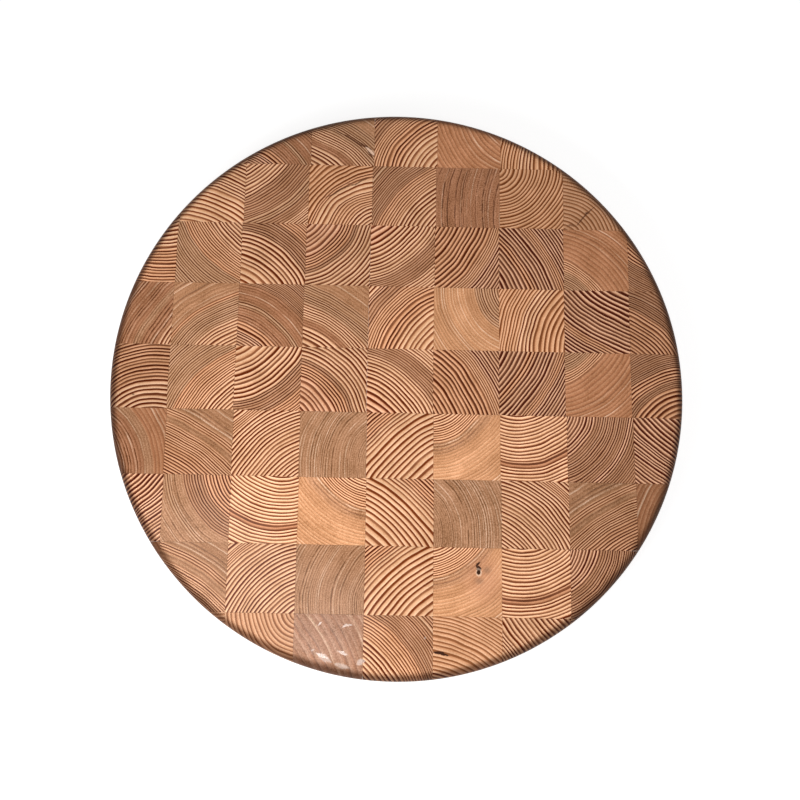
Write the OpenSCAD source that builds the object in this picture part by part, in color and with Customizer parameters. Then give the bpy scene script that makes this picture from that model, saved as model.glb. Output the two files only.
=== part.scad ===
// Round end-grain chopping block.
// Square staves stand on end in rows, with thin glue lines between them. The
// glued rows are cut to a round board with rounded edges, which stands on four
// screwed rubber feet. +Z is up, +Y is the back, and the origin is on the floor
// under the board's centre.

/* [Board] */
// Diameter of the round board
board_d = 444.5; // [300:0.5:560]
// Thickness of the board
board_t = 50.8; // [38:0.2:80]
// Radius of the round-over along the top edge
top_round_r = 11; // [4:0.5:16]
// Radius of the round-over along the bottom edge
bottom_round_r = 5; // [2:0.5:12]

/* [Blocks] */
// Distance from one block to the next along a row
block_pitch = 50.8; // [40:0.1:64]
// Distance from one row to the next
row_pitch = 49.9; // [40:0.1:64]
// Thickness of the glue line between neighbouring blocks
glue_line = 0.1; // [0.04:0.02:0.3]
// How far the middle column lies to the right of the board's centre
pattern_x = 3.1; // [-20:0.1:20]
// How far the middle row lies behind the board's centre
pattern_y = 0.3; // [-20:0.1:20]
// Largest sideways slip of a row, left from gluing the rows together
row_slip = 1.3; // [0:0.1:3]

/* [Feet] */
// Distance of each foot's axis inside the rim of the board
foot_inset = 72; // [25:1:110]
// Diameter of a foot where it meets the board
foot_d = 28; // [24:0.5:40]
// Diameter of a foot on the floor
foot_floor_d = 24; // [20:0.5:27]
// Height of a foot
foot_h = 8; // [6.5:0.5:14]
// Radius of a foot's lower edge
foot_edge_r = 1.5; // [0.5:0.1:2.5]
// Diameter of the recess that hides the screw head
recess_d = 11; // [9.5:0.5:14]
// Thickness of the rubber between the washer and the board
foot_web = 2.5; // [1.5:0.1:3]

/* [Screws] */
// Diameter of the screw shank
screw_d = 4.2; // [3:0.1:5]
// Length of the screw under its head
screw_l = 19; // [14:1:30]
// Diameter of the screw head
head_d = 8; // [6.5:0.1:9]
// Height of the screw head
head_h = 2.4; // [1.6:0.1:3]
// Height of the straight rim of the screw head
head_rim_h = 0.9; // [0.5:0.1:1.2]
// Width of each slot of the head's cross
cross_w = 1.1; // [0.8:0.1:1.6]
// Length of each slot of the head's cross
cross_l = 4.4; // [3:0.1:5]
// Depth of the head's cross
cross_depth = 1.3; // [0.8:0.1:1.5]
// Thickness of the steel washer under the head
washer_t = 1; // [0.6:0.1:1.5]
// Clearance round the shank and round the washer
fit_gap = 0.15; // [0.05:0.05:0.4]

/* [Hidden] */
board_r = board_d / 2;
board_bottom = foot_h;

// The middle seven by seven blocks are nodes of their own. The blocks outside
// them, out to the rim, are grouped by the side of the board they are on.
middle = 3;
first_number = middle + 2;
sides = ["back", "front", "left", "right"];
least_sliver = glue_line * 5;
side_rows = ceil((board_r + abs(pattern_y)) / row_pitch - 0.5);
side_cols = ceil((board_r + abs(pattern_x) + row_slip) / block_pitch - 0.5);

// Each row is a slice of one of four glued slabs, and some slices are turned
// left to right. A letter is a stave: l light, g grey-brown, r reddish-brown,
// d dark, o orange. Rows run from the back of the board to its front.
slabs = ["rglglolgl", "lggllldog", "rgggloldg", "llrlgdllg"];
row_slab = [2, 3, 1, 2, 1, 0, 0, 0, 3];
row_turned = [false, false, false, false, false, false, true, false, true];
// Sideways slip of each row, as a share of the largest
row_slip_share = [1, 0.3, -0.2, -0.5, -0.7, -0.2, 0.2, 0.2, 0.2];
stave_colors = [
    ["l", "#dfb083"], ["g", "#b08a66"], ["r", "#9c7050"], ["d", "#8d6647"], ["o", "#cf9663"]];
rubber_color = "#2b2b2c";
steel_color = "#b9bcc0";

foot_circle_r = board_r - foot_inset;
foot_names = ["back_right", "back_left", "front_left", "front_right"];
foot_places = [for (n = [0:3]) foot_circle_r * [cos(45 + 90 * n), sin(45 + 90 * n)]];
foot_lean = atan((foot_d - foot_floor_d) / 2 / foot_h);
bearing_z = foot_h - foot_web - washer_t;
shank_hole_r = screw_d / 2 + fit_gap;
pilot_depth = bearing_z + screw_l - board_bottom;
screw_point_l = screw_d;
screw_tip_r = screw_d / 14;
eps = 0.01;

$fn = 96;

// Row and column numbers count from the middle: row 1 is the row in front of
// the middle row, and column 1 is the column to its right.
function wrap(n, count) = ((n % count) + count) % count;
function pattern_row(row) = wrap(row + (len(row_slab) - 1) / 2, len(row_slab));
function block_left(row, col) =
    pattern_x + row_slip * row_slip_share[pattern_row(row)] + (col - 0.5) * block_pitch;
function block_front(row) = pattern_y - (row + 0.5) * row_pitch;

function nearest(low, high) = low > 0 ? low : high < 0 ? -high : 0;
function in_board(row, col) =
    let (x = block_left(row, col), y = block_front(row))
    norm([nearest(x, x + block_pitch), nearest(y, y + row_pitch)]) < board_r - least_sliver;

function is_middle(cell) = abs(cell.x) <= middle && abs(cell.y) <= middle;
function side_of(cell) =
    cell.x < -middle ? "back" : cell.x > middle ? "front" : cell.y < 0 ? "left" : "right";

all_cells = [for (row = [-side_rows:side_rows]) for (col = [-side_cols:side_cols])
    if (in_board(row, col)) [row, col]];
middle_cells = [for (cell = all_cells) if (is_middle(cell)) cell];
function rim_cells(side) =
    [for (cell = all_cells) if (!is_middle(cell) && side_of(cell) == side) cell];
rim_sides = [for (side = sides) if (len(rim_cells(side)) > 0) side];

// Rows are numbered from the back and columns from the left.
function block_name(cell) =
    str("block_row", cell.x + first_number, "_col", cell.y + first_number);

function stave_color(row, col) =
    let (n = pattern_row(row), slab = slabs[row_slab[n]], along = row_turned[n] ? -col : col,
         letter = slab[wrap(along + (len(slab) - 1) / 2, len(slab))])
    stave_colors[search(letter, stave_colors)[0]][1];

// Half section of the board, with both rounded edges
module board_section() {
    translate([0, bottom_round_r]) square([board_r, board_t - bottom_round_r - top_round_r]);
    square([board_r - bottom_round_r, board_t - top_round_r]);
    square([board_r - top_round_r, board_t]);
    translate([board_r - bottom_round_r, bottom_round_r]) circle(bottom_round_r);
    translate([board_r - top_round_r, board_t - top_round_r]) circle(top_round_r);
}

// Hole drilled up into the board for one foot screw, with the drill's point
module pilot_hole() {
    rotate_extrude()
        polygon([[0, -eps], [shank_hole_r, -eps], [shank_hole_r, pilot_depth],
                 [0, pilot_depth + shank_hole_r]]);
}

// One stave, cut to the board's shape and drilled where a foot screw enters it
module block(row, col) {
    left = block_left(row, col) + glue_line / 2;
    front = block_front(row) + glue_line / 2;
    wide = block_pitch - glue_line;
    deep = row_pitch - glue_line;
    color(stave_color(row, col)) translate([0, 0, board_bottom]) difference() {
        intersection() {
            rotate_extrude() board_section();
            translate([left, front, -eps]) cube([wide, deep, board_t + 2 * eps]);
        }
        for (place = foot_places)
            if (abs(place.x - left - wide / 2) < wide / 2 + shank_hole_r
                && abs(place.y - front - deep / 2) < deep / 2 + shank_hole_r)
                translate(place) pilot_hole();
    }
}

module rim_blocks(side) {
    for (cell = rim_cells(side)) block(cell.x, cell.y);
}

// Half section of a foot, leaning out towards the board, with a rounded edge
module foot_section() {
    tangent_l = foot_edge_r / tan((90 + foot_lean) / 2);
    edge_x = foot_floor_d / 2 - tangent_l;
    difference() {
        union() {
            polygon([[0, 0], [edge_x, 0], [edge_x, foot_edge_r],
                     [foot_floor_d / 2 + tangent_l * sin(foot_lean), tangent_l * cos(foot_lean)],
                     [foot_d / 2, foot_h], [0, foot_h]]);
            translate([edge_x, foot_edge_r]) circle(foot_edge_r);
        }
        translate([0, -eps]) square([recess_d / 2, foot_h - foot_web + eps]);
        translate([0, -eps]) square([shank_hole_r, foot_h + 2 * eps]);
    }
}

module rubber_foot(place) {
    color(rubber_color) translate(place) rotate_extrude() foot_section();
}

module foot_washers() {
    color(steel_color) for (place = foot_places)
        translate([place.x, place.y, bearing_z]) difference() {
            cylinder(r = recess_d / 2 - fit_gap, h = washer_t);
            translate([0, 0, -eps]) cylinder(r = shank_hole_r, h = washer_t + 2 * eps);
        }
}

// Domed head with a cross, its bearing face at z = 0 and its crown below
module screw_head() {
    crown_h = head_h - head_rim_h;
    crown_r = (pow(head_d / 2, 2) + pow(crown_h, 2)) / 2 / crown_h;
    difference() {
        intersection() {
            translate([0, 0, -head_h]) cylinder(d = head_d, h = head_h);
            translate([0, 0, crown_r - head_h]) sphere(crown_r);
        }
        for (turn = [0, 90])
            rotate(turn) translate([-cross_l / 2, -cross_w / 2, -head_h - eps])
                cube([cross_l, cross_w, cross_depth + eps]);
    }
}

module foot_screw() {
    screw_head();
    cylinder(d = screw_d, h = screw_l - screw_point_l);
    translate([0, 0, screw_l - screw_point_l])
        cylinder(r1 = screw_d / 2, r2 = screw_tip_r, h = screw_point_l);
}

module foot_screws() {
    color(steel_color) for (place = foot_places)
        translate([place.x, place.y, bearing_z]) foot_screw();
}

for (cell = middle_cells)
    block(cell.x, cell.y);
for (side = rim_sides)
    rim_blocks(side);
for (n = [0:3])
    rubber_foot(foot_places[n]);
foot_washers();
foot_screws();
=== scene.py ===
"""Looks of a round end-grain chopping block: oiled wood, rubber feet and steel screws."""

import math

import bpy
from mathutils import Euler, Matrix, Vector


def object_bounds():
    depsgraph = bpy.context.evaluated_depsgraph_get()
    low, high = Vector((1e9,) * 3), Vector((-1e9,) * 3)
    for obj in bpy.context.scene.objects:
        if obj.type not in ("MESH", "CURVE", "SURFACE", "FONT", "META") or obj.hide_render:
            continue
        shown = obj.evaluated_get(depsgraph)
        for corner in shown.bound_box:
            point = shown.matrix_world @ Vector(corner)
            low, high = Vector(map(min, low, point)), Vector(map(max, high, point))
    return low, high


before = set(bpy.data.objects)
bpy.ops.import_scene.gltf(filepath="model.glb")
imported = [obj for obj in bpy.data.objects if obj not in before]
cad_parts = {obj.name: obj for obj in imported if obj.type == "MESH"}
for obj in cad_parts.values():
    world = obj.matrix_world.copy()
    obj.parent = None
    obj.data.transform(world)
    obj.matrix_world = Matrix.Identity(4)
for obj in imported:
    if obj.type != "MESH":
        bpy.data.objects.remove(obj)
cad_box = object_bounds()

MM = 0.001
BOARD_R = (cad_box[1][0] - cad_box[0][0]) / 2
BOARD_TOP = cad_box[1][2]

# The grid of blocks, as the part has it, in millimetres. Rows are counted from
# the back of the board and columns from its left.
BLOCK_PITCH = 50.8
ROW_PITCH = 49.9
PATTERN_X = 3.1
PATTERN_Y = 0.3
ROW_SLIP = 1.3
ROW_SLIP_SHARE = (1, 0.3, -0.2, -0.5, -0.7, -0.2, 0.2, 0.2, 0.2)
MIDDLE_CELL = 5
TOP_ROUND_R = 11

# Each row is a slice of a glued slab of nine staves. Some slices were turned
# over, end for end along the row or across it.
ROW_SLAB = "CDBCBAAAD"
TURNED_LEFT_RIGHT = (7, 9)
TURNED_FRONT_BACK = (5,)

# How far apart two slices lay along their slab, and how far apart the staves
# are set in the noise, so that no two staves look alike
SLICE_STEP_MM = 70
STAVE_STEP_MM = 3000


def srgb(red, green, blue):
    """A colour given as it looks on screen, from 0 to 255, as linear light."""
    def linear(value):
        share = value / 255
        return share / 12.92 if share <= 0.04045 else ((share + 0.055) / 1.055) ** 2.4
    return (linear(red), linear(green), linear(blue), 1.0)


class Growth:
    """How the wood looks over some years of growth.

    faint is how many of the rings are hard to see, with streaks in their place.
    """

    def __init__(self, early, late, late_share, faint=0.0):
        self.early = srgb(*early)
        self.late = srgb(*late)
        self.late_share = late_share
        self.faint = faint


GROWTH = {
    "wide": Growth((255, 205, 164), (122, 54, 18), 0.40),
    "light": Growth((255, 204, 163), (102, 38, 6), 0.48),
    "pink": Growth((254, 197, 159), (100, 36, 8), 0.46),
    "even": Growth((250, 194, 152), (106, 48, 14), 0.48),
    "tan": Growth((219, 173, 136), (88, 38, 8), 0.46, 0.15),
    "grey": Growth((202, 155, 120), (130, 88, 58), 0.40, 0.7),
    "brown": Growth((208, 157, 121), (80, 30, 6), 0.46, 0.15),
    "dark": Growth((255, 200, 161), (84, 26, 6), 0.57),
    "medium": Growth((250, 190, 147), (90, 34, 6), 0.50),
    "bold": Growth((212, 150, 112), (74, 32, 18), 0.66),
    "soft": Growth((242, 186, 144), (122, 64, 28), 0.44),
    "mild": Growth((236, 182, 142), (146, 90, 54), 0.40),
    "mottled": Growth((196, 141, 106), (114, 71, 48), 0.44, 1.0),
    "red": Growth((196, 142, 107), (110, 64, 38), 0.42, 0.6),
    "smooth": Growth((200, 151, 114), (150, 104, 74), 0.40, 0.7),
    "calm": Growth((214, 161, 120), (170, 120, 84), 0.32, 0.45),
    "orange": Growth((226, 172, 130), (192, 138, 100), 0.28, 0.45),
    "rosy": Growth((206, 149, 111), (160, 106, 74), 0.34, 0.35),
    # dull is partly painted sheen: pale, greyed wood with faint rings, for the veil of oil over the
    # block that has it
    "dull": Growth((197, 151, 123), (158, 114, 90), 0.25, 0.6),
}


class Stave:
    """One stave of wood, in millimetres from its centre.

    pith is where the tree's centre lay. rings holds, from the pith outwards,
    how far past the stave's centre a kind of growth lasts, the kind, and the
    width of its rings. tone is how light the wood is beside the other staves,
    and sway is how far a ring strays from a true circle.
    """

    def __init__(self, pith, rings, tone=1.0, sway=1.0):
        self.pith = Vector(pith)
        self.rings = rings
        self.tone = tone
        self.sway = sway


STAVES = {
    "A1": Stave((-50, -25), [(-14, "red", 2.6), (5, "red", 2.4), (12, "grey", 2.2),
                             (40, "rosy", 3)], 0.78),
    "A2": Stave((-75, -125), [(-12, "medium", 2.1), (2, "even", 1.7), (7, "smooth", 3),
                              (13, "even", 2), (40, "smooth", 3)], 0.84),
    "A3": Stave((50, -60), [(22, "light", 2.65), (29, "even", 1.5), (40, "light", 2.7)], 1.05),
    "A4": Stave((55, -17), [(-10, "grey", 1.6), (5, "grey", 2.2), (12, "grey", 1.4),
                            (40, "grey", 2)], 0.95),
    "A5": Stave((80, -90), [(-18, "wide", 4.6), (16, "wide", 3.7), (20, "light", 2.2),
                            (40, "medium", 2.2)], 1, 0.8),
    "A6": Stave((-31, 51), [(-22, "light", 2), (-11, "even", 1.7), (-2, "smooth", 2.4),
                            (5, "calm", 2), (18, "orange", 2.4), (40, "calm", 2.2)], 1.25),
    "A7": Stave((-11, 56), [(9.5, "light", 2.6), (13, "bold", 2.4), (40, "light", 2.6)],
                1.26),
    "A8": Stave((-47, 32), [(-13, "dark", 2.3), (-8, "brown", 2), (12, "brown", 1.8),
                            (16, "dark", 2), (40, "brown", 1.7)], 1.05),
    "A9": Stave((60, 92), [(4, "dark", 3.2), (40, "dark", 2.3)], 0.98),
    "B1": Stave((17, 58), [(-4, "light", 3.6), (40, "medium", 2.6)], 0.78),
    "B2": Stave((67, 63), [(-14, "light", 2.6), (1, "even", 1.8), (4, "medium", 2),
                           (40, "tan", 1.8)], 1.06),
    "B3": Stave((-39, -53), [(-18, "wide", 4.6), (7, "light", 3.3), (22, "brown", 2),
                             (40, "medium", 1.9)], 1.03),
    "B4": Stave((-41, 41), [(-11, "pink", 3.6), (-2, "medium", 2.3), (2, "brown", 2),
                            (40, "light", 2.8)], 0.97),
    "B5": Stave((-47, 61), [(-20, "pink", 4.2), (-9, "light", 3.4), (7, "light", 2.6),
                            (21, "brown", 1.8), (40, "light", 2.1)], 1.1),
    "B6": Stave((-77, 52), [(8, "medium", 3.2), (15, "even", 1.7), (40, "dark", 2.1)], 0.97),
    "B7": Stave((-97, -61), [(-14, "dark", 3.3), (-8, "medium", 2.6), (8, "dark", 2.7),
                             (14, "medium", 1.7), (40, "dark", 2.2)], 0.94),
    "B8": Stave((-43, -55), [(-21, "tan", 1.6), (-13, "even", 1.7), (12, "rosy", 3.4),
                             (40, "rosy", 2.6)], 1.07),
    "B9": Stave((21, 53), [(-4, "medium", 3.4), (2, "brown", 1.6), (12, "medium", 2.4),
                           (40, "brown", 1.5)], 0.94),
    "C1": Stave((102, -61), [(-25, "light", 2.8), (-12, "red", 2.6), (-7, "grey", 1.8),
                             (40, "red", 2.2)], 0.96),
    "C2": Stave((54, -76), [(-14, "light", 2.5), (3, "tan", 1.7), (6, "medium", 2),
                            (12, "smooth", 2.4), (40, "smooth", 3.2)], 1.07),
    "C3": Stave((-42, -62), [(-22, "dark", 2), (-15, "medium", 2.7), (-4, "red", 2),
                             (0, "tan", 1.8), (14, "red", 2.2), (40, "brown", 1.4)], 1.01),
    "C4": Stave((-61, -95), [(-19, "light", 3.3), (-13, "red", 2), (-2, "light", 2),
                             (14, "tan", 1.9), (22, "smooth", 2.6), (40, "smooth", 3)], 1.05),
    "C5": Stave((56, -46), [(-9, "wide", 3.7), (5, "medium", 3.3), (16, "even", 2),
                            (26, "brown", 2.5), (29, "dark", 1.8), (40, "light", 3)], 1.15),
    "C6": Stave((46, 26), [(-14, "tan", 1.9), (-6, "calm", 2), (10, "orange", 2.4),
                           (40, "calm", 2.2)], 1.17),
    "C7": Stave((70, -26), [(-4, "soft", 3.9), (7, "light", 2.7), (40, "soft", 2.4)], 1.15),
    "C8": Stave((66, 109), [(-8, "dark", 3.7), (14, "dark", 3), (20, "medium", 2),
                            (40, "dark", 2.5)], 0.92),
    "C9": Stave((-49, -58), [(-3, "medium", 2.7), (7, "brown", 1.6), (40, "brown", 2.4)], 0.86),
    "D1": Stave((40, -90), [(40, "light", 3)]),
    "D2": Stave((-30, -92), [(3, "wide", 3.6), (15, "light", 2.6), (40, "light", 3)], 1.14),
    "D3": Stave((-59, 71), [(-11, "light", 2.8), (4, "brown", 2.2), (9, "brown", 1.8),
                            (15, "tan", 2.4), (24, "brown", 2), (40, "light", 1.8)], 1.14),
    "D4": Stave((34, -40), [(-20, "light", 2.6), (-6, "even", 2.2), (4, "wide", 4),
                            (8, "medium", 2), (40, "soft", 3.2)], 1.12, 2),
    "D5": Stave((60, -52), [(-9, "light", 3), (3, "even", 2.1), (6, "medium", 2),
                            (26, "brown", 1.7), (29, "tan", 2.5), (40, "brown", 2)], 1.08),
    "D6": Stave((107, -13), [(-8, "mottled", 1.9), (8, "mottled", 1.6), (40, "mottled", 2)], 0.94),
    "D7": Stave((-30, 27), [(-14, "soft", 3.4), (40, "soft", 2.6)], 1.01, 0.9),
    "D8": Stave((-27, -34), [(-14, "mild", 3.4), (40, "mild", 2.8)], 0.87),
    "D9": Stave((-60, -60), [(40, "grey", 2)]),
    # Some staves had grown otherwise further along, where other rows were cut
    "D3 front": Stave((-120, 125), [(10, "light", 3.1), (40, "light", 2.2)], 1.05),
    "C6 back": Stave((46, 26), [(-14, "rosy", 2.4), (40, "rosy", 3.2)], 1.25),
    "D4 front": Stave((36, -73), [(-20, "light", 2.6), (10, "mild", 3.4), (40, "mild", 2.4)],
                      1.09),
    "D7 front": Stave((-30, 27), [(40, "mild", 3)], 0.94, 0.9),
    "B1 back": Stave((17, 58), [(-4, "light", 3.6), (40, "medium", 2.6)], 1.1),
    # Its dull wood is partly painted sheen
    "D6 front": Stave((95, -48), [(40, "dull", 5)], 0.93),
    "A8 front": Stave((-47, 32), [(-13, "medium", 2.3), (2, "brown", 2), (12, "grey", 1.8),
                                  (16, "tan", 2), (40, "grey", 1.7)], 0.96),
    "A3 front": Stave((50, -60), [(22, "light", 2.65), (29, "even", 1.5), (40, "light", 2.7)],
                      0.99),
    "A4 front": Stave((55, -17), [(-10, "grey", 1.6), (5, "grey", 2.2), (12, "grey", 1.4),
                                  (40, "grey", 2)], 0.9),
}

# The blocks that were cut from those lengths of the staves
STAVE_HERE = {(1, 6): "C6 back", (3, 1): "B1 back", (7, 2): "A8 front",
              (8, 3): "A3 front", (8, 4): "A4 front", (9, 3): "D7 front", (9, 4): "D6 front",
              (9, 6): "D4 front", (9, 7): "D3 front"}

# How far the rings are set on both sides of a stave's centre, and half of the
# width in which one kind of growth turns into the next
GROWTH_REACH_MM = 40
GROWTH_BLEND_MM = 0.8


class Line:
    """A crack or a streak that tapers to its ends, in millimetres in its block."""

    def __init__(self, points, width, color, strength=1.0):
        self.points = points
        self.width = width
        self.color = srgb(*color)
        self.strength = strength


class Spot:
    """An oval spot, such as a part of a knot, in millimetres in its block."""

    def __init__(self, middle, radii, color, strength=1.0, edge=0.4):
        self.middle = middle
        self.radii = radii
        self.color = srgb(*color)
        self.strength = strength
        self.edge = edge


CRACK = (66, 38, 26)
SPLIT = (92, 52, 34)
# A painted highlight: the near-white glint of the lamps in pools of oil
OIL_GLINT = (236, 214, 200)

# What is seen on single blocks only, from the middle of each block, with +x to
# the right and +y to the back. Marks in the near-white colour are glossy pools of oil, whose colour
# is a painted highlight.
MARKS = {
    (1, 4): [Line([(-8.4, 5.4), (3.2, 0.4), (13.7, -6.7), (18.4, -9.7)], 1.3, SPLIT, 0.9),
             Line([(10, -2.5), (18, -7.8), (25.5, -12)], 1.2, SPLIT, 0.8),
             Line([(18.6, -9.9), (24.7, -18.3)], 1.3, SPLIT, 0.9),
             Line([(17.8, -8.4), (22, -12), (29, -19)], 2.4, (255, 212, 182))],
    (2, 4): [Line([(-14.7, -3.2), (-6.3, -0.2), (0, 4.7), (6.3, 7.6), (11.6, 8.7)], 1.4, SPLIT, 0.8),
             Line([(6.3, 9), (11.6, 8.9), (16.8, 12.6), (25.3, 15.6)], 1.3, SPLIT, 0.8),
             Line([(-1, 7.2), (5, 9.8), (14, 10.4)], 1.1, (150, 96, 70), 0.6)],
    (2, 8): [Line([(-16.1, -23.2), (-11.9, -17.4), (-6.6, -11), (2.3, -3.2)], 1.3, SPLIT, 0.8),
             Spot((-6.6, -11), (1.6, 0.9), SPLIT, 0.8, 0.6),
             Line([(-24, -22.6), (-20, -21.2), (-15.6, -22.4)], 2.2, (116, 72, 50), 0.6)],
    (5, 1): [Spot((-0.5, -14.7), (1.1, 0.6), CRACK, 0.7)],
    (8, 6): [Spot((13, 2), (13, 15), (214, 150, 118), 0.4, 0.8),
             Spot((14.3, 8.9), (2.6, 2.4), (140, 108, 86), 0.5, 0.9),
             Spot((8.7, 1.0), (2.8, 2.0), (140, 108, 86), 0.5, 0.9),
             Spot((8.2, 6.9), (2.2, 2.6), (252, 208, 176), 0.9, 0.2),
             Spot((8.3, 9.5), (1.8, 1.3), (140, 122, 108), 0.9, 0.3),
             Line([(9.6, 14.9), (7.4, 13.1), (6.1, 11.2)], 1.9, CRACK),
             Line([(5.6, 11), (8.2, 11.1), (10.4, 9.8)], 1.8, CRACK),
             Spot((8.1, 7.2), (1.5, 1.7), (58, 34, 20), 1.0, 0.25)],
    (9, 4): [Line([(-8.6, -2.4), (-3.3, -5.6), (3.2, -8.8)], 4.8, OIL_GLINT),
             Line([(4.4, -9.6), (10, -11.2), (16.4, -12.6)], 4, OIL_GLINT),
             Line([(7, -0.6), (14.8, -3.6)], 2.6, OIL_GLINT),
             Line([(21.6, -10.6), (25.4, -6)], 4.8, OIL_GLINT, 0.9),
             Line([(-8.2, 16.6), (-4.8, 19.8)], 1.5, OIL_GLINT, 0.9),
             Line([(9.6, 15.6), (12.7, 17.6), (17.4, 17.6)], 2.0, OIL_GLINT, 0.9),
             Line([(-13, -1.4), (-9.5, 0.4)], 1.4, OIL_GLINT, 0.5)],
    (9, 5): [Line([(-25.8, -6), (-24.6, -9)], 3.6, OIL_GLINT, 0.8),
             Line([(18.6, 8.3), (20.7, 10.9)], 1.4, OIL_GLINT, 0.5)],
    (9, 6): [Line([(-26.5, -0.3), (-20, -0.6), (-12.6, -2.9)], 2.6, CRACK)],
}

# How strongly the painted highlight of a pool of oil goes into its colour, and between which values
# of its noise the pool breaks up
GLINT_PAINT = 0.5
WET_BREAKS = (-0.5, 0.0)

# Shares of a line's width from its middle: where it fades, how much nearer that
# is at its ends, and how far its edges stray
LINE_FADES = (0.3, 0.6)
LINE_TAPER = 0.5
LINE_STRAY = 0.35

# How far a spot's edge strays, as a share of its radii
SPOT_STRAY = 0.25


class Texture:
    """Noise from -spread to spread, whose features are 1 / scale apart."""

    def __init__(self, scale, detail=1.0, roughness=0.5, spread=1.0):
        self.scale = scale
        self.detail = detail
        self.roughness = roughness
        self.spread = spread


# In features per millimetre of a stave: across, back and up
SWAY = Texture((0.03, 0.03, 0.006), spread=2.0)
JOG = Texture((0.16, 0.16, 0.02), 2.0, spread=0.22)
FIBRE = Texture((0.9, 0.9, 0.03), 2.0, 0.7, 0.3)
PORES = Texture((1.2, 1.2, 0.05), 1.0, 0.8)
SLOW_TONE = Texture((0.06, 0.06, 0.008), 2.0, 0.5, 0.28)

# In features per millimetre of the rings: outwards, along the ring and up
CROWDING = Texture((0.12, 0.04, 0.01), spread=0.15)
FADING = Texture((0.3, 0.05, 0.01), spread=0.25)
GAPS = Texture((0.6, 0.12, 0.01), 2.0, 0.6)
BREAKS = Texture((0.8, 0.06, 0.01))
STREAKS = Texture((0.8, 0.12, 0.02), 3.0, 0.8)
BANDS = Texture((0.14, 0.02, 0.01))

# In features per year: some years are wider than others. Each stave reads it
# a step further on.
UNEVEN_YEARS = Texture((0.6, 1, 1), 0.0, 0.5, 0.3)
UNEVEN_STEP = 10

# In features per millimetre of a block
STRAY = Texture((0.7, 0.7, 1), 2.0, 0.6)
CRINKLE = Texture((0.6, 0.6, 1), 3.0, 0.7)

# In features per metre
# Noise on the distance from the board's axis, which makes the edges of the painted rim shade and of
# the oil stray
AXIS_STRAY = Texture((25, 25, 25), 2.0, 0.5, 0.0015)
PATCHES = Texture((30, 30, 30), 3.0, 0.6, 0.02)
MOTTLE = Texture((400, 400, 400), 3.0, 0.6, 0.5)
DUST = Texture((90, 90, 90), 2.0, 0.6)
BRUSHED = Texture((4000, 300, 300), 2.0, 0.6, 0.5)
TARNISH = Texture((250, 250, 250), 2.0, 0.6, 0.5)

# Which sockets of a Mix node hold its colours
MIX_FIRST = 6
MIX_SECOND = 7
MIX_RESULT = 2

# A place times this is the point below it at height 0
FLAT = (1, 1, 0)


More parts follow.
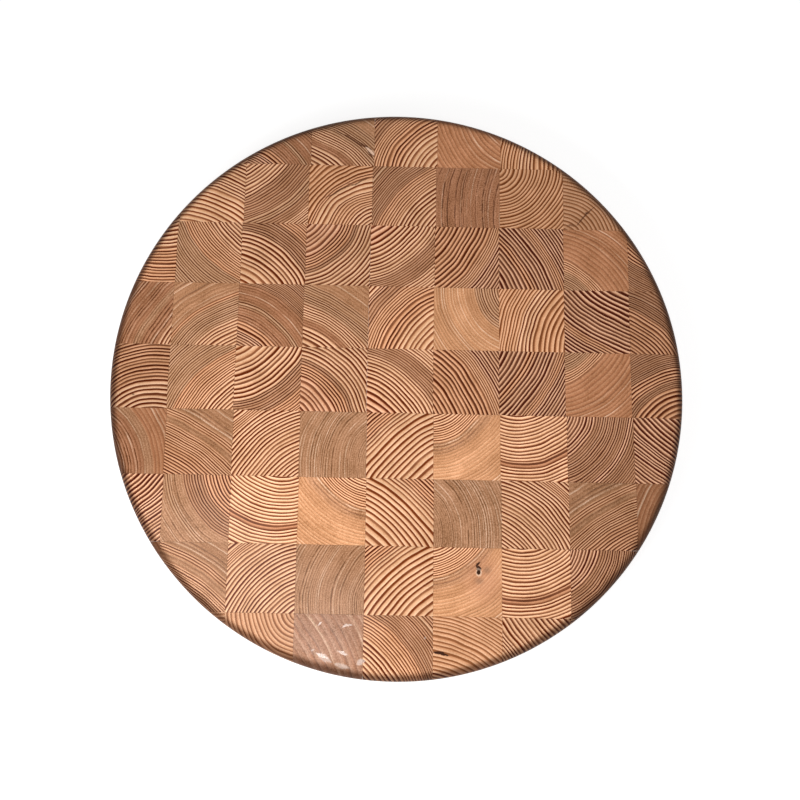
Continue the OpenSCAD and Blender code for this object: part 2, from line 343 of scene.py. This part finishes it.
class Shader:
    """Adds nodes to a material or a world. Most methods return an output socket."""

    def __init__(self, owner):
        owner.use_nodes = True
        self.owner = owner
        self.tree = owner.node_tree
        self.tree.nodes.clear()

    def plug(self, socket, value):
        """Links a socket to another, or sets it to a plain value."""
        if isinstance(value, bpy.types.NodeSocket):
            self.tree.links.new(value, socket)
        else:
            socket.default_value = value

    def node(self, kind, **settings):
        made = self.tree.nodes.new("ShaderNode" + kind)
        for name, value in settings.items():
            setattr(made, name, value)
        return made

    def attribute(self, name):
        return self.node("Attribute", attribute_name=name).outputs["Vector"]

    def object_place(self):
        """Where a point is in the board's frame, in metres."""
        return self.node("TexCoord").outputs["Object"]

    def math(self, operation, *values):
        made = self.node("Math", operation=operation)
        for socket, value in zip(made.inputs, values):
            self.plug(socket, value)
        return made.outputs[0]

    def total(self, first, *others):
        for value in others:
            first = self.math("ADD", first, value)
        return first

    def product(self, first, *others):
        for value in others:
            first = self.math("MULTIPLY", first, value)
        return first

    def vector(self, operation, *values):
        made = self.node("VectorMath", operation=operation)
        for socket, value in zip(made.inputs, values):
            self.plug(socket, value)
        scalar = operation in ("DOT_PRODUCT", "LENGTH")
        return made.outputs["Value" if scalar else "Vector"]

    def combine(self, x, y, z):
        made = self.node("CombineXYZ")
        for socket, value in zip(made.inputs, (x, y, z)):
            self.plug(socket, value)
        return made.outputs[0]

    def height_of(self, place):
        made = self.node("SeparateXYZ")
        self.plug(made.inputs[0], place)
        return made.outputs["Z"]

    def rise(self, value, low, high, to_low=0.0, to_high=1.0):
        """A smooth step between low and high."""
        made = self.node("MapRange", interpolation_type="SMOOTHSTEP")
        for name, number in (("Value", value), ("From Min", low), ("From Max", high),
                             ("To Min", to_low), ("To Max", to_high)):
            self.plug(made.inputs[name], number)
        return made.outputs["Result"]

    def fall(self, value, low, high):
        """A smooth step down from 1 at low to 0 at high."""
        return self.rise(value, low, high, 1.0, 0.0)

    def noise(self, place, texture, times=1.0):
        spread = texture.spread * times
        made = self.node("TexNoise", noise_dimensions="3D")
        self.plug(made.inputs["Vector"], self.vector("MULTIPLY", place, texture.scale))
        made.inputs["Scale"].default_value = 1.0
        made.inputs["Detail"].default_value = texture.detail
        made.inputs["Roughness"].default_value = texture.roughness
        return self.math("MULTIPLY_ADD", made.outputs["Fac"], 2 * spread, -spread)

    def mix(self, share, first, second, blend="MIX"):
        made = self.node("Mix", data_type="RGBA", blend_type=blend)
        self.plug(made.inputs["Factor"], share)
        self.plug(made.inputs[MIX_FIRST], first)
        self.plug(made.inputs[MIX_SECOND], second)
        return made.outputs[MIX_RESULT]

    def ramp(self, place, stops):
        """Colour and alpha along stops of a position and a colour."""
        made = self.node("ValToRGB")
        ramp = made.color_ramp
        while len(ramp.elements) < len(stops):
            ramp.elements.new(0.5)
        while len(ramp.elements) > len(stops):
            ramp.elements.remove(ramp.elements[-1])
        for element, (position, color) in zip(ramp.elements, stops):
            element.position = position
            element.color = color
        self.plug(made.inputs[0], place)
        return made.outputs["Color"], made.outputs["Alpha"]

    def curve(self, place, points):
        """Height of a line through points at a place from 0 to 1."""
        made = self.node("FloatCurve")
        line = made.mapping.curves[0]
        while len(line.points) < len(points):
            line.points.new(0.5, 0.5)
        for point, (x, y) in zip(line.points, points):
            point.location = (x, y)
            point.handle_type = "VECTOR"
        made.mapping.update()
        self.plug(made.inputs["Value"], place)
        return made.outputs["Value"]

    def bump(self, height, depth_mm):
        made = self.node("Bump")
        made.inputs["Distance"].default_value = depth_mm * MM
        self.plug(made.inputs["Height"], height)
        return made.outputs["Normal"]

    def finish(self, **sockets):
        """The material, with each named value on its socket of the surface."""
        surface = self.node("BsdfPrincipled")
        for name, value in sockets.items():
            self.plug(surface.inputs[name.replace("_", " ")], value)
        output = self.node("OutputMaterial")
        self.tree.links.new(surface.outputs[0], output.inputs["Surface"])
        return self.owner


def new_shader(name):
    return Shader(bpy.data.materials.new(name))


def growth_stops(stave, read):
    """Colour stops along the growth, where read picks four numbers from a kind."""
    def position(past_centre):
        return (past_centre + GROWTH_REACH_MM) / (2 * GROWTH_REACH_MM)

    stops = [(0.0, read(GROWTH[stave.rings[0][1]]))]
    for inner, outer in zip(stave.rings, stave.rings[1:]):
        stops.append((position(inner[0] - GROWTH_BLEND_MM), read(GROWTH[inner[1]])))
        stops.append((position(inner[0] + GROWTH_BLEND_MM), read(GROWTH[outer[1]])))
    return stops


def ring_counts(stave):
    """How many rings lie within each distance, and their number in all."""
    counts = [(-GROWTH_REACH_MM, 0.0)]
    for outer, _, width in stave.rings:
        inner, count = counts[-1]
        counts.append((outer, count + (outer - inner) / width))
    total = counts[-1][1]
    span = 2 * GROWTH_REACH_MM
    return [((place + GROWTH_REACH_MM) / span, count / total) for place, count in counts], total


def line_mask(s, place, line):
    """1 along a line and 0 beside it."""
    stray = s.noise(place, STRAY, LINE_STRAY * line.width)
    count = len(line.points) - 1
    nearest = None
    for number, (start, end) in enumerate(zip(line.points, line.points[1:])):
        start = Vector((*start, 0))
        step = Vector((*end, 0)) - start
        from_start = s.vector("SUBTRACT", place, start)
        share = s.math("DIVIDE", s.vector("DOT_PRODUCT", from_start, step), step.length_squared)
        share = s.math("MINIMUM", s.math("MAXIMUM", share, 0.0), 1.0)
        foot = s.vector("MULTIPLY", s.combine(share, share, share), step)
        distance = s.vector("LENGTH", s.vector("SUBTRACT", from_start, foot))
        # Thinner towards the ends of the whole line
        along = s.math("MULTIPLY_ADD", share, 1 / count, number / count)
        off_middle = s.math("ABSOLUTE", s.math("MULTIPLY_ADD", along, 2.0, -1.0))
        taper = s.math("MULTIPLY", s.math("POWER", off_middle, 2.0), LINE_TAPER * line.width)
        distance = s.math("ADD", distance, taper)
        nearest = distance if nearest is None else s.math("MINIMUM", nearest, distance)
    inner, outer = (share * line.width for share in LINE_FADES)
    return s.rise(s.math("ADD", nearest, stray), inner, outer, line.strength, 0.0)


def spot_mask(s, place, spot):
    """1 inside a spot and 0 outside it."""
    shape = (1 / spot.radii[0], 1 / spot.radii[1], 0)
    offset = s.vector("MULTIPLY", s.vector("SUBTRACT", place, (*spot.middle, 0)), shape)
    distance = s.math("ADD", s.vector("LENGTH", offset), s.noise(place, STRAY, SPOT_STRAY))
    return s.rise(distance, 1 - spot.edge, 1 + spot.edge, spot.strength, 0.0)


def add_marks(s, marks, color):
    """The colour with a block's marks, and where the block is wet with oil."""
    place = s.vector("MULTIPLY", s.attribute("place"), FLAT)
    wet = 0.0
    for mark in marks:
        mask = (line_mask if isinstance(mark, Line) else spot_mask)(s, place, mark)
        if mark.color == srgb(*OIL_GLINT):
            mask = s.product(mask, s.rise(s.noise(place, CRINKLE), *WET_BREAKS))
            wet = s.math("MAXIMUM", wet, mask)
            # A pool's colour is a painted highlight
            mask = s.math("MULTIPLY", mask, GLINT_PAINT)
        color = s.mix(mask, color, mark.color)
    return color, wet


# Dark wood starts and is full so long before its year ends, in times its share
# of the year. It stops sharply between this season, from 0 to 1, and the end.
LATE_STARTS = 1.35
LATE_FULL = 0.75
LATE_STOPS = 0.94

# The least strength of a year's dark wood, and the most that chance adds to it
LATE_STRENGTH = 0.75
LATE_CHANCE = 0.4

# Pale wood turns warmer during the year
WARMER = srgb(228, 205, 187)

# Where the rings are faint, years show only above this range of their chance, and
# they have gaps above this range of the noise
UNSEEN_YEARS = (0.5, 0.9)
GAPS_FROM = (-0.15, 0.3)

# There some years also begin with a thin pale line. It shows above these ranges
# of the year's chance, the noise and the faintness, and below that of the season.
PALE_LINE = srgb(240, 200, 168)
PALE_PAINT = 0.7
PALE_YEARS = (0.6, 0.9)
PALE_UNBROKEN = (-0.4, 0.2)
PALE_FAINT = (0.0, 0.4)
PALE_SEASON = (0.15, 0.5)

# How strongly the textures show where rings are clear, and what faint rings add
PORES_SHOW = (0.1, 1.0)
STREAKS_SHOW = (0.12, 0.5)
BANDS_SHOW = (0.1, 0.25)

# How far whole years differ in tone, the darkest that wood gets beside its own
# colour, and the powers by which red and blue follow green, so that darker wood
# is redder too
YEAR_TONE = 0.06
DARKEST = 0.2
RED_FOLLOWS = 0.85
BLUE_FOLLOWS = 1.25

# Painted shade on the rounded rim, in shares of the round-over: how far inside the outline it begins
# and is full, and how far below the top it stays so. The side has a share of it.
RIM_SHADE_TINT = srgb(98, 74, 60)
RIM_SHADE_PAINT = 0.75
RIM_BEGINS = (0.8, 0.35)
RIM_FULL_BELOW = 0.4
SIDE_SHARE = 0.4

# Oil that has not soaked in yet: a glossier coat, with a painted sheen, a pale veil mixed into the
# colour. In metres: its middle near the rim, between which distances from there it ends, and from
# the board's axis begins
# The colour of the painted sheen, and how strongly it is mixed in
SHEEN_TINT = srgb(232, 214, 204)
SHEEN_PAINT = 0.045
HAZE_MIDDLE = (-0.11, -0.165, 0)
HAZE_REACH = (0.07, 0.115)
HAZE_FROM_AXIS = (0.13, 0.165)

# The oiled surface: its coat and how much more of it the haze has, how rough the
# wood is and how much less so its dark rings, and how rings and fibres stand up
COAT = 0.03
HAZE_COAT = 0.08
COAT_ROUGHNESS = 0.15
ROUGHNESS = 0.46
LATE_SMOOTHER = 0.08
SPECULAR_LEVEL = 0.03
LATE_RIDGE = 0.6
FIBRE_RIDGE = 1.5
RIDGE_MM = 0.03


class EndGrain(Shader):
    """Oiled wood of one stave, with its growth rings round the tree's pith."""

    def __init__(self, name, number, stave):
        super().__init__(bpy.data.materials.new(name))
        self.number = number
        self.stave = stave
        self.grain = self.attribute("grain")
        self.fibre = self.noise(self.grain, FIBRE)
        self.find_rings()
        self.count_years()
        self.early, self.faint = self.growth_ramp(lambda kind: (*kind.early[:3], kind.faint))
        self.late, self.late_share = self.growth_ramp(
            lambda kind: (*kind.late[:3], kind.late_share))

    def find_rings(self):
        """Distances past the stave's centre and along the ring, both from the pith."""
        pith = self.stave.pith
        reach = pith.length
        outward = -pith / reach
        offset = self.vector("SUBTRACT", self.grain, (*pith, 0))
        along = self.vector("DOT_PRODUCT", offset, (*outward, 0))
        across = self.vector("DOT_PRODUCT", offset, (-outward.y, outward.x, 0))
        radius = self.vector("LENGTH", self.combine(along, across, 0))
        sway = self.noise(self.grain, SWAY, self.stave.sway)
        jog = self.noise(self.grain, JOG, self.stave.sway)
        past = self.math("SUBTRACT", self.total(radius, sway, jog), reach)
        arc = self.math("MULTIPLY", self.math("ARCTAN2", across, along), reach)
        self.rings = self.combine(past, arc, self.height_of(self.grain))
        self.share_out = self.math("MULTIPLY_ADD", past, 0.5 / GROWTH_REACH_MM, 0.5)

    def count_years(self):
        """How far into its year a point grew, and what chance gives that year."""
        points, total = ring_counts(self.stave)
        counted = self.math("MULTIPLY", self.curve(self.share_out, points), total)
        uneven = self.noise(self.combine(counted, self.number * UNEVEN_STEP, 0), UNEVEN_YEARS)
        counted = self.total(counted, uneven, self.noise(self.rings, CROWDING))
        year = self.math("FLOOR", counted)
        self.season = self.math("SUBTRACT", counted, year)
        chances = self.node("TexWhiteNoise", noise_dimensions="2D")
        self.plug(chances.inputs["Vector"], self.combine(year, self.number, 0))
        self.tone_chance = chances.outputs["Value"]
        apart = self.node("SeparateColor")
        self.plug(apart.inputs[0], chances.outputs["Color"])
        self.unseen_chance = apart.outputs[0]
        self.pale_chance = apart.outputs[1]

    def growth_ramp(self, read):
        return self.ramp(self.share_out, growth_stops(self.stave, read))

    def clearness(self):
        """1 where a ring shows, and 0 where it is faint and unseen or in a gap."""
        unseen = self.fall(self.unseen_chance, *UNSEEN_YEARS)
        gaps = self.rise(self.noise(self.rings, GAPS), *GAPS_FROM)
        hidden = self.math("MULTIPLY", self.math("MAXIMUM", unseen, gaps), self.faint)
        return self.math("SUBTRACT", 1.0, hidden)

    def ring_color(self):
        """Colour of the rings, and how much of it is dark wood, from 0 to 1.

        Each year ends sharply after a slow change through warmer wood.
        """
        clear = self.clearness()
        starts = self.math("MULTIPLY_ADD", self.late_share, -LATE_STARTS, 1.0)
        full = self.math("MULTIPLY_ADD", self.late_share, -LATE_FULL, 1.0)
        before_end = self.fall(self.season, LATE_STOPS, 1.0)
        strength = self.math("MULTIPLY_ADD", self.tone_chance, LATE_CHANCE, LATE_STRENGTH)
        strength = self.math("ADD", strength, self.noise(self.rings, FADING))
        darkness = self.product(self.rise(self.season, starts, full), before_end, strength, clear)
        darkness = self.math("MINIMUM", darkness, 1.0)

        warmth = self.product(self.rise(self.season, 0.0, full), before_end)
        # A ring that doesn't show is half as warm all through its year
        warmth = self.math("MULTIPLY_ADD", self.math("SUBTRACT", warmth, 0.5), clear, 0.5)
        warm = self.mix(1.0, self.early, WARMER, "MULTIPLY")
        color = self.mix(darkness, self.mix(warmth, self.early, warm), self.late)
        return self.mix(self.pale_lines(), color, PALE_LINE), darkness

    def pale_lines(self):
        """How strongly to paint the thin pale lines with which some years begin."""
        return self.product(
            self.rise(self.pale_chance, *PALE_YEARS),
            self.rise(self.noise(self.rings, BREAKS), *PALE_UNBROKEN),
            self.rise(self.faint, *PALE_FAINT),
            self.fall(self.season, *PALE_SEASON),
            PALE_PAINT,
        )

    def shade(self):
        """How light the wood is beside its growth's own colour."""
        changes = [self.fibre, self.noise(self.grain, SLOW_TONE),
                   self.math("MULTIPLY_ADD", self.tone_chance, 2 * YEAR_TONE, -YEAR_TONE)]
        for place, texture, (least, more) in (
            (self.grain, PORES, PORES_SHOW),
            (self.rings, STREAKS, STREAKS_SHOW),
            (self.rings, BANDS, BANDS_SHOW),
        ):
            shown = self.math("MULTIPLY_ADD", self.faint, more, least)
            changes.append(self.product(self.noise(place, texture), shown))
        light = self.math("MAXIMUM", self.total(1.0, *changes), DARKEST)
        red = self.math("POWER", light, RED_FOLLOWS)
        blue = self.math("POWER", light, BLUE_FOLLOWS)
        tone = self.stave.tone
        return self.vector("MULTIPLY", self.combine(red, light, blue), (tone, tone, tone))


def flat_length(s, place):
    """Distance from the origin, seen from above."""
    return s.vector("LENGTH", s.vector("MULTIPLY", place, FLAT))


def rim_and_haze(s):
    """How much painted shade the rounded rim gets, and where unsoaked oil with a painted sheen lies
    on the top.
    """
    where = s.object_place()
    from_axis = s.math("ADD", flat_length(s, where), s.noise(where, AXIS_STRAY))
    round_r = TOP_ROUND_R * MM
    # Painted shade: the rim darkens over the round-over
    shaded_rim = s.rise(from_axis, *(BOARD_R - share * round_r for share in RIM_BEGINS))
    level = s.math("SUBTRACT", s.height_of(where), BOARD_TOP)
    on_edge = s.rise(level, -round_r, -RIM_FULL_BELOW * round_r, SIDE_SHARE, 1.0)

    from_haze = flat_length(s, s.vector("SUBTRACT", where, HAZE_MIDDLE))
    oil_and_sheen = s.fall(s.math("ADD", from_haze, s.noise(where, PATCHES)), *HAZE_REACH)
    oil_and_sheen = s.product(oil_and_sheen, s.rise(from_axis, *HAZE_FROM_AXIS), s.math("SUBTRACT", 1.0, shaded_rim))
    return s.product(shaded_rim, on_edge, RIM_SHADE_PAINT), oil_and_sheen


def end_grain(name, number, stave, marks=()):
    """The wood of one stave with a block's marks, the painted shade on the board's rim, and its oil
    with a painted sheen.
    """
    s = EndGrain(name, number, stave)
    color, darkness = s.ring_color()
    color = s.mix(1.0, color, s.shade(), "MULTIPLY")
    color, wet = add_marks(s, marks, color)
    rim, oil_and_sheen = rim_and_haze(s)
    # Painted shade on the rounded rim
    color = s.mix(rim, color, RIM_SHADE_TINT, "MULTIPLY")
    # Painted sheen: a pale veil where the unsoaked oil lies
    color = s.mix(s.math("MULTIPLY", oil_and_sheen, SHEEN_PAINT), color, SHEEN_TINT)
    ridge = s.total(s.product(darkness, LATE_RIDGE), s.product(s.fibre, FIBRE_RIDGE))
    return s.finish(
        Base_Color=color,
        Roughness=s.math("MULTIPLY_ADD", darkness, -LATE_SMOOTHER, ROUGHNESS),
        Normal=s.bump(ridge, RIDGE_MM),
        Specular_IOR_Level=SPECULAR_LEVEL,
        Coat_Weight=s.math("MAXIMUM", wet, s.math("MULTIPLY_ADD", oil_and_sheen, HAZE_COAT, COAT)),
        Coat_Roughness=COAT_ROUGHNESS,
    )


def cell_at(x, y):
    """Row and column of the block that holds a point, given in metres."""
    row = MIDDLE_CELL + round((PATTERN_Y - y / MM) / ROW_PITCH)
    slip = ROW_SLIP * ROW_SLIP_SHARE[row - 1]
    col = MIDDLE_CELL + round((x / MM - PATTERN_X - slip) / BLOCK_PITCH)
    return row, col


def cell_middle(row, col):
    slip = ROW_SLIP * ROW_SLIP_SHARE[row - 1]
    x = PATTERN_X + slip + (col - MIDDLE_CELL) * BLOCK_PITCH
    return x, PATTERN_Y - (row - MIDDLE_CELL) * ROW_PITCH


def stave_in(row, col):
    """Name of the stave that a block was cut from."""
    along = 2 * MIDDLE_CELL - col if row in TURNED_LEFT_RIGHT else col
    return STAVE_HERE.get((row, col), ROW_SLAB[row - 1] + str(along))


def to_grain(row, col, point):
    """A point of a block in its stave's own directions, in millimetres."""
    middle_x, middle_y = cell_middle(row, col)
    across = point.x / MM - middle_x
    back = point.y / MM - middle_y
    up = point.z / MM
    if row in TURNED_LEFT_RIGHT:
        across, up = -across, -up
    if row in TURNED_FRONT_BACK:
        back, up = -back, -up
    number = list(STAVES).index(stave_in(row, col))
    return across, back, up + row * SLICE_STEP_MM + number * STAVE_STEP_MM


wood_made = {}


def wood_for(row, col):
    """The wood of a block. A block with marks has a wood of its own."""
    stave = stave_in(row, col)
    name = "end_grain_" + stave.replace(" ", "_")
    if (row, col) in MARKS:
        name = f"{name}_row{row}_col{col}"
    if name not in wood_made:
        number = list(STAVES).index(stave)
        wood_made[name] = end_grain(name, number, STAVES[stave], MARKS.get((row, col), ()))
    return wood_made[name]


def dress_wood(node):
    """Gives every block in a node its stave's wood and its place in the stave."""
    mesh = node.data
    grain = mesh.attributes.new("grain", "FLOAT_VECTOR", "POINT")
    place = mesh.attributes.new("place", "FLOAT_VECTOR", "POINT")
    mesh.materials.clear()
    slots = {}
    for face in mesh.polygons:
        cell = cell_at(face.center.x, face.center.y)
        wood = wood_for(*cell)
        if wood.name not in slots:
            slots[wood.name] = len(slots)
            mesh.materials.append(wood)
        face.material_index = slots[wood.name]
        middle = Vector((*cell_middle(*cell), 0))
        for index in face.vertices:
            point = mesh.vertices[index].co
            grain.data[index].vector = to_grain(*cell, point)
            place.data[index].vector = point / MM - middle


RUBBER = srgb(38, 38, 40)
RUBBER_DUST = srgb(74, 71, 68)
DUST_FROM = (0.1, 0.8)
DUST_PAINT = 0.35
RUBBER_ROUGHNESS = 0.68
RUBBER_MOTTLE = 0.1
RUBBER_GRAIN_MM = 0.05


def rubber():
    s = new_shader("matt_rubber")
    place = s.object_place()
    mottle = s.noise(place, MOTTLE)
    dust = s.product(s.rise(s.noise(place, DUST), *DUST_FROM), DUST_PAINT)
    return s.finish(
        Base_Color=s.mix(dust, RUBBER, RUBBER_DUST),
        Roughness=s.math("MULTIPLY_ADD", mottle, RUBBER_MOTTLE, RUBBER_ROUGHNESS),
        Normal=s.bump(mottle, RUBBER_GRAIN_MM),
    )


STEEL = srgb(208, 208, 210)
STEEL_TARNISH = srgb(176, 176, 178)
TARNISH_UP_TO = (-0.3, 0.4)
STEEL_ROUGHNESS = 0.32
STEEL_BRUSHING = 0.12
STEEL_SCRATCH_MM = 0.01


def steel():
    s = new_shader("stainless_steel")
    place = s.object_place()
    brushed = s.noise(place, BRUSHED)
    clean = s.rise(s.noise(place, TARNISH), *TARNISH_UP_TO)
    return s.finish(
        Base_Color=s.mix(clean, STEEL_TARNISH, STEEL),
        Metallic=1.0,
        Roughness=s.math("MULTIPLY_ADD", brushed, STEEL_BRUSHING, STEEL_ROUGHNESS),
        Normal=s.bump(brushed, STEEL_SCRATCH_MM),
    )


def dress_plain(node, material):
    node.data.materials.clear()
    node.data.materials.append(material)


def seen_by_camera(s):
    """1 for rays that show what is there, and 0 for rays that light it."""
    path = s.node("LightPath")
    glossy = s.math("ADD", path.outputs["Is Camera Ray"], path.outputs["Is Glossy Ray"])
    return s.math("MINIMUM", s.math("ADD", glossy, path.outputs["Is Transmission Ray"]), 1.0)


# The lift is the floor's own glow, at two distances from the board's axis: painted light, brighter
# far out where the lamps' light falls off
FLOOR_SIDE = 12.0
FLOOR_COLOR = (0.6, 0.6, 0.6, 1)
FLOOR_LIFT_FROM = (0.4, 1.2)
FLOOR_LIFT = (0.76, 0.86)


def make_floor():
    """A plain white floor that keeps the board's shadow, lifted where lamps don't reach."""
    bpy.ops.mesh.primitive_plane_add(size=FLOOR_SIDE)
    floor = bpy.context.object
    floor.name = "floor"
    s = new_shader("white_floor")
    distance = s.vector("LENGTH", s.object_place())
    lift = s.product(seen_by_camera(s), s.rise(distance, *FLOOR_LIFT_FROM, *FLOOR_LIFT))
    paint = s.node("BsdfDiffuse")
    paint.inputs["Color"].default_value = FLOOR_COLOR
    glow = s.node("Emission")
    s.plug(glow.inputs["Strength"], lift)
    both = s.node("AddShader")
    s.tree.links.new(paint.outputs[0], both.inputs[0])
    s.tree.links.new(glow.outputs[0], both.inputs[1])
    output = s.node("OutputMaterial")
    s.tree.links.new(both.outputs[0], output.inputs["Surface"])
    floor.data.materials.append(s.owner)


WHITE = (1, 1, 1, 1)
ROOM_LIGHT = 0.25


def light_room():
    """White where it is seen, and dim where it lights the board."""
    world = bpy.data.worlds.new("white_room")
    bpy.context.scene.world = world
    s = Shader(world)
    back = s.node("Background")
    back.inputs["Color"].default_value = WHITE
    s.plug(back.inputs["Strength"],
           s.math("MULTIPLY_ADD", seen_by_camera(s), 1 - ROOM_LIGHT, ROOM_LIGHT))
    output = s.node("OutputWorld")
    s.tree.links.new(back.outputs[0], output.inputs["Surface"])


class Lamp:
    """A square soft lamp that faces the middle of the board's top.

    A brightness of 1 shows a matt colour there as written. Its reflection is seen
    in the board only where it shines.
    """

    def __init__(self, place, side, brightness, shines=False):
        self.place = Vector(place)
        self.side = side
        self.brightness = brightness
        self.shines = shines


LAMPS = {
    "left_window": Lamp((-0.23, -0.255, 0.44), 0.3, 0.545),
    "right_window": Lamp((0.21, 0.03, 0.45), 0.3, 0.17),
    "overhead": Lamp((-0.09, -0.29, 1.0), 0.1, 0.045, shines=True),
}


def add_lamp(name, lamp):
    light = bpy.data.lights.new(name, "AREA")
    light.size = lamp.side
    ray = Vector((0, 0, BOARD_TOP)) - lamp.place
    facing = -ray.normalized().z
    light.energy = lamp.brightness * math.pi ** 2 * ray.length_squared / facing
    holder = bpy.data.objects.new(name, light)
    holder.location = lamp.place
    holder.rotation_euler = ray.to_track_quat("-Z", "Y").to_euler()
    holder.visible_camera = False
    holder.visible_glossy = lamp.shines
    bpy.context.collection.objects.link(holder)


CAMERA_PLACE = (-0.0236, -0.1229, 0.7513)
CAMERA_TURN_DEG = (10.72, -0.429, 1.137)
NEAREST_SEEN = 0.01
SENSOR_MM = 36.0

# The photograph in pixels: its side, the lens's focal length, and how far the
# lens's axis lies from the left edge and from the top
IMAGE_PX = 800
FOCAL_PX = 916.2
AXIS_PX = 370


def place_camera():
    camera = bpy.data.cameras.new("camera")
    camera.sensor_width = SENSOR_MM
    camera.lens = FOCAL_PX / IMAGE_PX * SENSOR_MM
    camera.shift_x = 0.5 - AXIS_PX / IMAGE_PX
    camera.shift_y = AXIS_PX / IMAGE_PX - 0.5
    camera.clip_start = NEAREST_SEEN
    holder = bpy.data.objects.new("camera", camera)
    holder.location = CAMERA_PLACE
    holder.rotation_euler = Euler([math.radians(turn) for turn in CAMERA_TURN_DEG])
    bpy.context.collection.objects.link(holder)
    bpy.context.scene.camera = holder


place_camera()
make_floor()
light_room()
for name, lamp in LAMPS.items():
    add_lamp(name, lamp)

rubber_look = rubber()
steel_look = steel()
for name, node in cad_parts.items():
    if name.startswith(("block", "rim")):
        dress_wood(node)
    elif name.startswith("rubber"):
        dress_plain(node, rubber_look)
    else:
        dress_plain(node, steel_look)

bpy.context.scene.view_settings.view_transform = "Standard"
